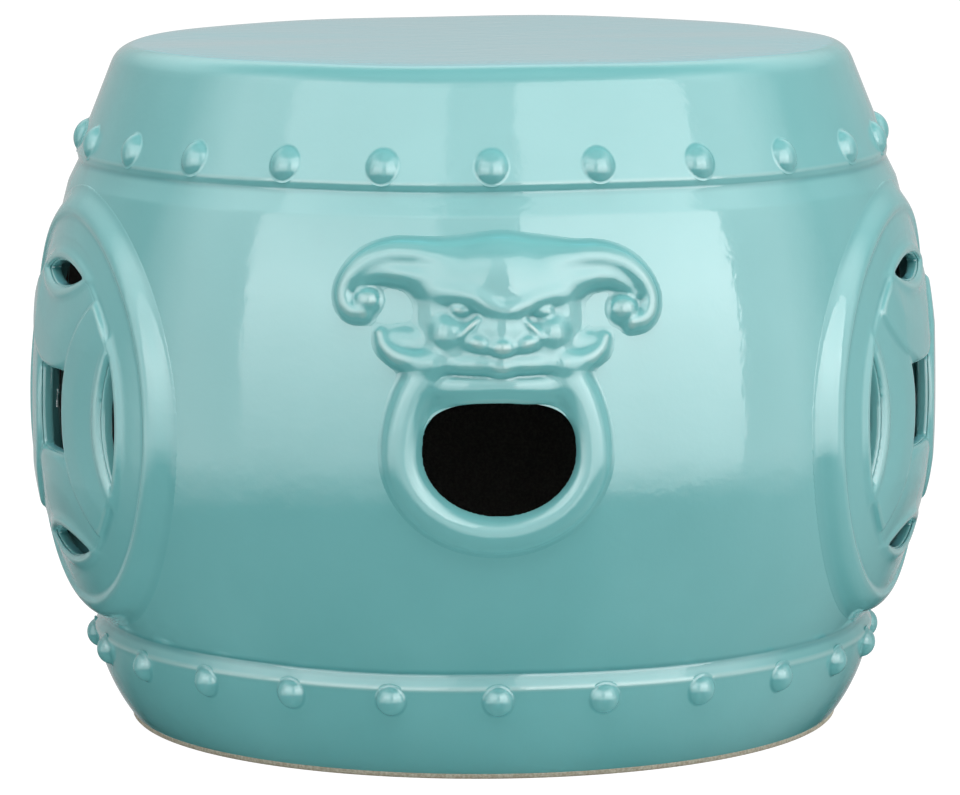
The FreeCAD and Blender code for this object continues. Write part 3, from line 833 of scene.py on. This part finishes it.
def coin_clay(u, v, rho, height):
    """Field of the whole coin, open at its square and its slits."""
    slits = np.minimum.reduce([lens(u, v, degrees) for degrees in COIN_BANDS])
    lip = COIN_LIP_RISE * np.exp(-((slits - COIN_LIP_OFFSET) / COIN_LIP_WIDTH) ** 2)
    crest = soft_max(height, COIN_CREST_START - rho, blend=5.0)
    frame_clay = soft_min(height + COIN_RIM_DROP, crest, blend=2.0)
    frame_clay = soft_max(frame_clay, rho - COIN_RADIUS, blend=2 * COIN_EDGE)
    plate = soft_max(height + COIN_PLATE_DROP - lip, rho - COIN_RADIUS + 4.0, blend=2.0)
    clay = soft_min(frame_clay, plate, blend=1.0)
    clay = soft_min(clay, coin_bands(u, v, rho, height, lip), blend=3.0)
    square = soft_max(np.abs(u) - COIN_SQUARE, np.abs(v) - COIN_SQUARE, blend=3.0)
    return soft_max(clay, -np.minimum(square, slits), blend=3.4)


def coins(material):
    """Each coin's frame, plate and bands, which part at the frame's inner edge and at the plate's level."""
    block = Block(COIN_LOW, COIN_HIGH, COIN_CELL)
    u, v, w = block.grid()
    rho = np.sqrt(u ** 2 + v ** 2)
    height = w - coin_stand(v).astype(np.float32)
    clay = coin_clay(u, v, rho, height)
    joined = soft_max(clay, rho - COIN_RADIUS, blend=0.5)
    whole = np.where(rho < COIN_FIELD + 10.0, clay, soft_min(clay, w, WALL_FILLET))

    back = np.where(rho < COIN_WINDOW_RADIUS, -WALL - w, -BACK_DEPTH - w)
    inner = rho - COIN_FIELD
    frame_edge = np.maximum(joined - SKIRT_END, -inner - SEAM_OVERLAP)
    frame_top = whole + skirt(joined) + SEAM_SINK * np.maximum(-inner, 0.0) ** 2
    field_top = whole + SEAM_SINK * np.maximum(inner, 0.0) ** 2
    field_clay = np.maximum(np.maximum(field_top, inner - SEAM_OVERLAP), -height - COIN_PLATE_BACK)
    plate_level = height + COIN_PLATE_DROP + 0.4
    fields = {
        "frame": np.maximum(np.maximum(frame_top, back), frame_edge),
        "plate": np.maximum(field_clay, plate_level),
        "bands": np.maximum(field_clay, -plate_level),
    }
    sculpted_pieces(block, fields, relief_field(block, whole), coin_wrap, COIN_PANELS, material)


# Studs


def stud_profile(radius, rise):
    """Half section of a domed stud as (distance from its middle, height) with a filleted foot, and relief."""
    ball = (radius ** 2 + rise ** 2) / (2 * rise)
    centre = rise - ball
    reach = math.sqrt((ball + STUD_FILLET) ** 2 - (STUD_FILLET - centre) ** 2)
    touch = math.atan2(reach, STUD_FILLET - centre)
    shown = [(ball * math.sin(a), centre + ball * math.cos(a)) for a in np.linspace(0.0, touch, 12)]
    shown += [(reach - STUD_FILLET * math.sin(a), STUD_FILLET - STUD_FILLET * math.cos(a))
              for a in np.linspace(touch, 0.0, 7)[1:]]
    hidden = [(reach + 0.2, -0.4), (reach - 0.4, -STUD_ROOT), (0.0, -STUD_ROOT)]
    relief = profile_relief(np.array(shown), STUD_RELIEF_REACH)
    return shown + hidden, np.concatenate((relief, np.zeros(len(hidden))))


def studs(node, height, radius, rise, seat_radius, nudges, material):
    """A ring of studs laid on a band whose radius at a height is seat_radius(height)."""
    profile, stand = stud_profile(radius, rise)
    points, faces, relief = [], [], []
    for stud in range(STUD_COUNT):
        middle = 2 * math.pi * stud / STUD_COUNT + math.radians(nudges.get(stud, 0.0))

        def on_band(reach, out, angle):
            z = height + reach * math.sin(angle)
            around = middle + reach * math.cos(angle) / seat_radius(height)
            lean = math.atan(seat_radius(z - 0.5) - seat_radius(z + 0.5))
            return round_axis(seat_radius(z) + out * math.cos(lean), z + out * math.sin(lean), around)

        own_points, own_faces, own_relief = spun(profile, stand, STUD_SIDES, on_band)
        faces += [[len(points) + corner for corner in face] for face in own_faces]
        points += own_points
        relief += own_relief
    new_piece(node, points, faces, relief, material)


def shoulder_radius(z):
    """The shoulder's face, straight from the lip up to the seat."""
    share = (z - LIP_HEIGHT) / (SEAT_BOTTOM - LIP_HEIGHT)
    return LIP_RADIUS - LIP_INSET - (SHOULDER_TAPER - LIP_INSET) * share


def stud_rows(glaze):
    studs("upper_studs", SHOULDER_BOTTOM + UPPER_STUD_LIFT, UPPER_STUD_RADIUS, UPPER_STUD_RISE,
          shoulder_radius, UPPER_STUD_NUDGES, glaze)
    studs("lower_studs", RIDGE_HEIGHT - LOWER_STUD_DROP, LOWER_STUD_RADIUS, LOWER_STUD_RISE,
          foot_radius_at, {}, glaze)


# Turned pieces of the stool

CUTTER_START = 100.0
CUTTER_END = 400.0
OPENING_STEPS = 96
HOLE_CLEARANCE = 0.8


def turned_pieces(glaze, clay, dark):
    """Seat, shoulder, barrel and foot, glazed outside and painted near black inside as shade, and the bare
    rim.
    """
    finish = (glaze, dark)
    shoulder_inside = [
        (LIP_RADIUS - WALL, SHOULDER_BOTTOM),
        (LIP_RADIUS - WALL - SHOULDER_INSIDE_STEP, LIP_HEIGHT),
        (SHOULDER_TOP_RADIUS - WALL, SEAT_BOTTOM),
    ]
    barrel_inside = [(barrel_radius(z) - WALL, z) for z in np.linspace(BARREL_BOTTOM, SHOULDER_BOTTOM, 40)]
    foot_inside = [
        (FOOT_RADIUS - RIM_WIDTH, FOOT_BOTTOM),
        (RIDGE_RADIUS - FOOT_BELLY_INSET - WALL, FOOT_BELLY_HEIGHT),
        (barrel_radius(BARREL_BOTTOM) - WALL, BARREL_BOTTOM),
    ]
    turned_piece("seat_slab", SEAT_TOP, SEAT_BOTTOM, [(0.0, SEAT_BOTTOM)], finish)
    turned_piece("shoulder_band", SEAT_BOTTOM, SHOULDER_BOTTOM, shoulder_inside, finish)
    barrel = turned_piece("barrel_wall", SHOULDER_BOTTOM, BARREL_BOTTOM, barrel_inside, finish)
    cut_openings(barrel)
    turned_piece("foot_band", BARREL_BOTTOM, FOOT_BOTTOM, foot_inside, finish)
    inner = FOOT_RADIUS - RIM_WIDTH
    rim = [
        (FOOT_RADIUS, FOOT_BOTTOM), (FOOT_RADIUS, RIM_CHAMFER), (FOOT_RADIUS - RIM_CHAMFER, 0.0),
        (inner + RIM_CHAMFER, 0.0), (inner, RIM_CHAMFER), (inner, FOOT_BOTTOM),
    ]
    mesh_data = spun(rim, np.zeros(len(rim)), SPIN_STEPS, round_axis, closed=True)
    new_piece("foot_rim", *mesh_data, clay, "_bare", "bare_clay")


def cutter(outline, panel):
    """A temporary bar with a flat outline, running outwards from near the axis through a panel."""
    count = len(outline)
    points = [(u, -reach, z) for reach in (CUTTER_START, CUTTER_END) for u, z in outline]
    points = turn_about(np.array(points), panel * PANEL_TURN)
    faces = [tuple(range(count - 1, -1, -1)), tuple(range(count, 2 * count))]
    faces += [(i, (i + 1) % count, (i + 1) % count + count, i + count) for i in range(count)]
    mesh = bpy.data.meshes.new("cutter")
    mesh.from_pydata((points * MM).tolist(), [], faces)
    return linked("cutter", mesh)


def cut_openings(barrel):
    """Cuts the hand holes and the coins' windows through the barrel; their edges lie under ring and frame."""
    angles = np.linspace(0.0, 2 * math.pi, OPENING_STEPS, endpoint=False)
    across, up = np.cos(angles), np.sin(angles)
    reach = 1.0 / hole_share(across, up, HOLE_CLIMB, HOLE_CLEARANCE)
    hole = np.column_stack((reach * across, BELLY_HEIGHT + reach * up))
    window = np.column_stack((COIN_WINDOW_RADIUS * across, COIN_HEIGHT + COIN_WINDOW_RADIUS * up))
    bars = [cutter(hole, panel) for panel in MASK_PANELS.values()]
    bars += [cutter(window, panel) for panel in COIN_PANELS.values()]
    bpy.context.view_layer.objects.active = barrel
    for bar in bars:
        cut = barrel.modifiers.new("cut", "BOOLEAN")
        cut.operation = "DIFFERENCE"
        cut.solver = "EXACT"
        cut.object = bar
        bpy.ops.object.modifier_apply(modifier=cut.name)
    for bar in bars:
        bpy.data.objects.remove(bar)


# Materials

# Glaze colours as linear light: its two base tones, its runs, a lighter, bluer tone painted on faces turned
# up such as the seat, as painted light from above, a darker tone in hollows, where glaze pools and painted
# shade falls, and a pale tone on edges
GLAZE_DEEP = (0.152, 0.420, 0.424, 1)
GLAZE_FULL = (0.180, 0.465, 0.469, 1)
GLAZE_RUN = (0.139, 0.400, 0.404, 1)
GLAZE_LIT_FROM_ABOVE = (0.180, 0.520, 0.575, 1)
GLAZE_POOLED_AND_SHADED = (0.080, 0.300, 0.310, 1)
GLAZE_THIN = (0.520, 0.610, 0.570, 1)
GLAZE_ROUGHNESS = 0.06
GLAZE_IOR = 1.52
# Dark and light speckles of the bare clay, and of the inside, whose near-black colour is painted shade for
# the darkness within the stool
BARE_CLAY = ((0.40, 0.34, 0.25, 1), (0.56, 0.50, 0.40, 1))
INSIDE_PAINTED_SHADE = ((0.030, 0.027, 0.022, 1), (0.055, 0.050, 0.042, 1))
CLAY_ROUGHNESS = 0.85


def new_material(name):
    """A new material as (material, node tree, shader)."""
    material = bpy.data.materials.new(name)
    material.use_nodes = True
    tree = material.node_tree
    return material, tree, tree.nodes["Principled BSDF"]


def feed(tree, node, inputs):
    """Gives a node's inputs, by name or number, plain values or other nodes' outputs."""
    for key, value in inputs.items():
        if isinstance(value, bpy.types.NodeSocket):
            tree.links.new(value, node.inputs[key])
        else:
            node.inputs[key].default_value = value


def added(tree, kind, inputs, **settings):
    """The outputs of a new node with the given settings and inputs."""
    node = tree.nodes.new(kind)
    for name, value in settings.items():
        setattr(node, name, value)
    feed(tree, node, inputs)
    return node.outputs


def axes_of(tree, vector):
    return added(tree, "ShaderNodeSeparateXYZ", {0: vector})


def mixed(tree, factor, first, second):
    return added(tree, "ShaderNodeMix", {0: factor, 6: first, 7: second}, data_type="RGBA")[2]


def mixed_numbers(tree, factor, first, second):
    return added(tree, "ShaderNodeMix", {0: factor, 2: first, 3: second})[0]


def ranged(tree, value, low, high, start=0.0, end=1.0):
    """A number that runs from start to end while the value runs from low to high."""
    return added(tree, "ShaderNodeMapRange", dict(enumerate((value, low, high, start, end))))[0]


def worked_out(tree, operation, first, second):
    return added(tree, "ShaderNodeMath", {0: first, 1: second}, operation=operation)[0]


def noise(tree, place, scale, detail=2.0, stretch=(1.0, 1.0, 1.0)):
    vector = added(tree, "ShaderNodeMapping", {"Vector": place, "Scale": stretch})[0]
    return added(tree, "ShaderNodeTexNoise", {"Vector": vector, "Scale": scale, "Detail": detail})[0]


def bump(tree, height, strength, distance, **below):
    inputs = {"Height": height, "Strength": strength, "Distance": distance}
    return added(tree, "ShaderNodeBump", {**inputs, **below})[0]


def glaze_material():
    """Turquoise glaze: pale and warm where it thinned on edges, darker in hollows where it pools and where
    shade is painted in, and lighter and bluer on faces turned up, as painted light from above.
    """
    material, tree, shader = new_material("turquoise_glaze_finish")
    place = added(tree, "ShaderNodeTexCoord", {})["Object"]
    relief = added(tree, "ShaderNodeAttribute", {}, attribute_name="relief")["Fac"]
    upward = axes_of(tree, added(tree, "ShaderNodeNewGeometry", {})["Normal"])["Z"]

    cloud = ranged(tree, noise(tree, place, 9.0, detail=3.0), 0.3, 0.7)
    runs = ranged(tree, noise(tree, place, 14.0, stretch=(1.0, 1.0, 0.18)), 0.35, 0.65)
    colour = mixed(tree, cloud, GLAZE_DEEP, GLAZE_FULL)
    colour = mixed(tree, ranged(tree, runs, 0.0, 1.0, 0.0, 0.35), colour, GLAZE_RUN)
    # Painted light: faces turned up, such as the seat, are lighter and bluer, as if lit from above
    colour = mixed(tree, ranged(tree, upward, 0.96, 1.0), colour, GLAZE_LIT_FROM_ABOVE)
    # Darker in hollows where glaze pools; in creases and round the studs' feet this darkening is also painted
    # shade
    colour = mixed(tree, ranged(tree, relief, -0.12, -0.75, 0.0, 0.8), colour, GLAZE_POOLED_AND_SHADED)
    colour = mixed(tree, ranged(tree, relief, 0.30, 1.30, 0.0, 0.75), colour, GLAZE_THIN)

    ripple = bump(tree, noise(tree, place, 70.0), strength=0.35, distance=0.0006)
    fine = bump(tree, noise(tree, place, 420.0), strength=0.12, distance=0.0003, Normal=ripple)
    finish = {"Base Color": colour, "Roughness": GLAZE_ROUGHNESS, "IOR": GLAZE_IOR, "Normal": fine}
    feed(tree, shader, finish)
    return material


def clay_material(name, dark, light):
    """Bare fired clay: matt, sandy and slightly speckled."""
    material, tree, shader = new_material(name)
    place = added(tree, "ShaderNodeTexCoord", {})["Object"]
    speckle = ranged(tree, noise(tree, place, 600.0, detail=3.0), 0.4, 0.65)
    grain = bump(tree, noise(tree, place, 900.0), strength=0.4, distance=0.0004)
    colour = mixed(tree, speckle, dark, light)
    feed(tree, shader, {"Base Color": colour, "Roughness": CLAY_ROUGHNESS, "Normal": grain})
    return material


# Stage, lights and camera

# Strength of the room that the glaze mirrors: in front, behind, what its upper part adds, at the floor's left
# and right, and the share of it all that is left straight overhead
MIRRORED_FRONT = 3.05
MIRRORED_BACK = 0.54
MIRRORED_ABOVE = 0.95
MIRRORED_BELOW = (0.0, 0.8)
OVERHEAD_SHARE = 0.2
# Where these change, as two values of the X, Y or Z of the direction
FLOOR_LINE = (-0.38, -0.20)
BACK_TO_FRONT = (0.25, -0.10)
UPPER_PART = (0.25, 0.60)
LEFT_TO_RIGHT = (0.4, 0.95)
OVERHEAD_PART = (0.64, 0.88)
# Strength of the even light that the clay takes from the room
ROOM_LIGHT = 0.56

# Upright lamps: their lower and upper edges and their distance from the stool
BOX_BOTTOM = -0.35
BOX_TOP = 2.3
BOX_DISTANCE = 1.9
# Boxes that only the glaze mirrors, as (angle, width, power, start, end): each glows from one share of its
# height, is brightest at BOX_PEAK, and has dimmed to BOX_DIMMED at the other
MIRRORED_BOXES = {"left_box": (-38.0, 1.75, 54.0, 0.08, 0.60), "right_box": (36.0, 2.0, 94.0, -0.08, 0.75)}
BOX_PEAK = 0.38
BOX_DIMMED = 0.35
# Lamps that light the clay and aren't mirrored: one upright at the right as (angle, width, power), and one
# above as (width, depth, power, place, tilt, turn)
SIDE_LIGHT = (80.0, 2.0, 12.0)
TOP_LIGHT = (2.2, 2.0, 40.0, (0.0, -0.9, 2.3), 20.0, 0.0)
FLOOR_REACH = 12.0
FLOOR_COLOUR = (0.82, 0.82, 0.82, 1)
# Share and strength of plain white in the floor as the camera sees it; the rest takes the soft shadow
FLOOR_WHITE = 0.85
FLOOR_GLOW = 1.17

# The camera, in metres and degrees, with its focal length and image centre in pixels of the image
IMAGE_WIDTH = 960
IMAGE_HEIGHT = 795
CAMERA_DISTANCE = 3.1513
CAMERA_HEIGHT = 0.633
CAMERA_TILT = 8.0
CAMERA_TURN = -2.0
CAMERA_ROLL = 0.217
FOCAL_LENGTH = 5273.3
CENTRE_X = 482.65
CENTRE_Y = 395.96
SENSOR = 36.0


def stage():
    """A wide white floor with a soft shadow, which the glaze doesn't mirror."""
    mesh = bpy.data.meshes.new("floor")
    corners = [(x * FLOOR_REACH, y * FLOOR_REACH, 0.0) for x, y in ((-1, -1), (1, -1), (1, 1), (-1, 1))]
    mesh.from_pydata(corners, [], [(0, 1, 2, 3)])
    floor = linked("floor", mesh)
    material, tree, shader = new_material("floor_finish")
    feed(tree, shader, {"Base Color": FLOOR_COLOUR, "Roughness": 0.9, "Specular IOR Level": 0.0})
    camera_ray = added(tree, "ShaderNodeLightPath", {})["Is Camera Ray"]
    white = ranged(tree, camera_ray, 0.0, 1.0, 0.0, FLOOR_WHITE)
    glow = added(tree, "ShaderNodeEmission", {"Strength": FLOOR_GLOW})[0]
    mix = added(tree, "ShaderNodeMixShader", {0: white, 1: shader.outputs[0], 2: glow})[0]
    feed(tree, tree.nodes["Material Output"], {0: mix})
    mesh.materials.append(material)
    floor.visible_glossy = False


def area_lamp(name, width, height, power, place, tilt, turn):
    """A lamp that faces down when its tilt is 0 and towards +Y when it is 90 degrees, then turned about Z."""
    lamp = bpy.data.lights.new(name, "AREA")
    lamp.shape = "RECTANGLE"
    lamp.size = width
    lamp.size_y = height
    lamp.energy = power
    placed = linked(name, lamp)
    placed.location = place
    placed.rotation_euler = (math.radians(tilt), 0.0, math.radians(turn))
    placed.visible_camera = False
    return placed


def soft_box(name, turn, width, power):
    """A tall upright lamp at an angle round the stool, facing the stool's middle."""
    angle = math.radians(turn)
    middle = (BOX_BOTTOM + BOX_TOP) / 2
    place = (BOX_DISTANCE * math.sin(angle), -BOX_DISTANCE * math.cos(angle), middle)
    return area_lamp(name, width, BOX_TOP - BOX_BOTTOM, power, place, 90.0, turn)


def fade_ends(lamp, start, end):
    """Makes an upright lamp glow from the start share of its height and dim towards the end share."""
    lamp.use_nodes = True
    tree = lamp.node_tree
    height = axes_of(tree, added(tree, "ShaderNodeNewGeometry", {})["Parametric"])["Y"]
    rise = ranged(tree, height, start, BOX_PEAK)
    fall = ranged(tree, height, BOX_PEAK, end, 1.0, BOX_DIMMED)
    feed(tree, tree.nodes["Emission"], {"Strength": worked_out(tree, "MULTIPLY", rise, fall)})


def lights():
    """Two tall boxes in front that the glaze mirrors, and lamps that light the clay and aren't mirrored."""
    for name, (turn, width, power, start, end) in MIRRORED_BOXES.items():
        box = soft_box(name, turn, width, power)
        box.visible_diffuse = False
        fade_ends(box.data, start, end)
    side = soft_box("side_light", *SIDE_LIGHT)
    side.visible_glossy = False
    top = area_lamp("top_light", *TOP_LIGHT)
    top.visible_glossy = False


def studio_world():
    """White to the camera, an even light to the clay, and for the glaze a room that is brighter in front."""
    world = bpy.data.worlds.new("studio")
    bpy.context.scene.world = world
    world.use_nodes = True
    tree = world.node_tree
    way = axes_of(tree, added(tree, "ShaderNodeTexCoord", {})["Generated"])
    above_floor = ranged(tree, way["Z"], *FLOOR_LINE)
    front = ranged(tree, way["Y"], *BACK_TO_FRONT, MIRRORED_BACK, MIRRORED_FRONT)
    upper = ranged(tree, way["Z"], *UPPER_PART, 0.0, MIRRORED_ABOVE)
    below = ranged(tree, way["X"], *LEFT_TO_RIGHT, *MIRRORED_BELOW)
    overhead = ranged(tree, way["Z"], *OVERHEAD_PART, 1.0, OVERHEAD_SHARE)
    room = worked_out(tree, "MULTIPLY", above_floor, front)
    room = worked_out(tree, "MAXIMUM", worked_out(tree, "ADD", room, upper), below)
    room = worked_out(tree, "MULTIPLY", room, overhead)
    path = added(tree, "ShaderNodeLightPath", {})
    lit = mixed_numbers(tree, path["Is Glossy Ray"], ROOM_LIGHT, room)
    seen = mixed_numbers(tree, path["Is Camera Ray"], lit, 1.0)
    feed(tree, tree.nodes["Background"], {"Color": (1.0, 1.0, 1.0, 1), "Strength": seen})


def camera():
    lens_data = bpy.data.cameras.new("view")
    lens_data.sensor_width = SENSOR
    lens_data.lens = FOCAL_LENGTH / IMAGE_WIDTH * SENSOR
    lens_data.shift_x = (IMAGE_WIDTH / 2 - CENTRE_X) / IMAGE_WIDTH
    lens_data.shift_y = (CENTRE_Y - IMAGE_HEIGHT / 2) / IMAGE_WIDTH
    viewer = linked("view", lens_data)
    turn = math.radians(CAMERA_TURN)
    viewer.location = (CAMERA_DISTANCE * math.sin(turn), -CAMERA_DISTANCE * math.cos(turn), CAMERA_HEIGHT)
    viewer.rotation_mode = "XYZ"
    viewer.rotation_euler = (math.radians(90.0 - CAMERA_TILT), 0.0, turn)
    viewer.rotation_euler.rotate_axis("Z", math.radians(-CAMERA_ROLL))
    bpy.context.scene.camera = viewer


def main():
    glaze = glaze_material()
    clay = clay_material("bare_clay_finish", *BARE_CLAY)
    # The inside is painted near black as shade, for the little light that gets into the stool
    dark = clay_material("inside_painted_shade_finish", *INSIDE_PAINTED_SHADE)
    turned_pieces(glaze, clay, dark)
    stud_rows(glaze)
    masks(glaze)
    coins(glaze)
    stage()
    lights()
    studio_world()
    camera()
    bpy.context.scene.view_settings.view_transform = "Standard"


main()
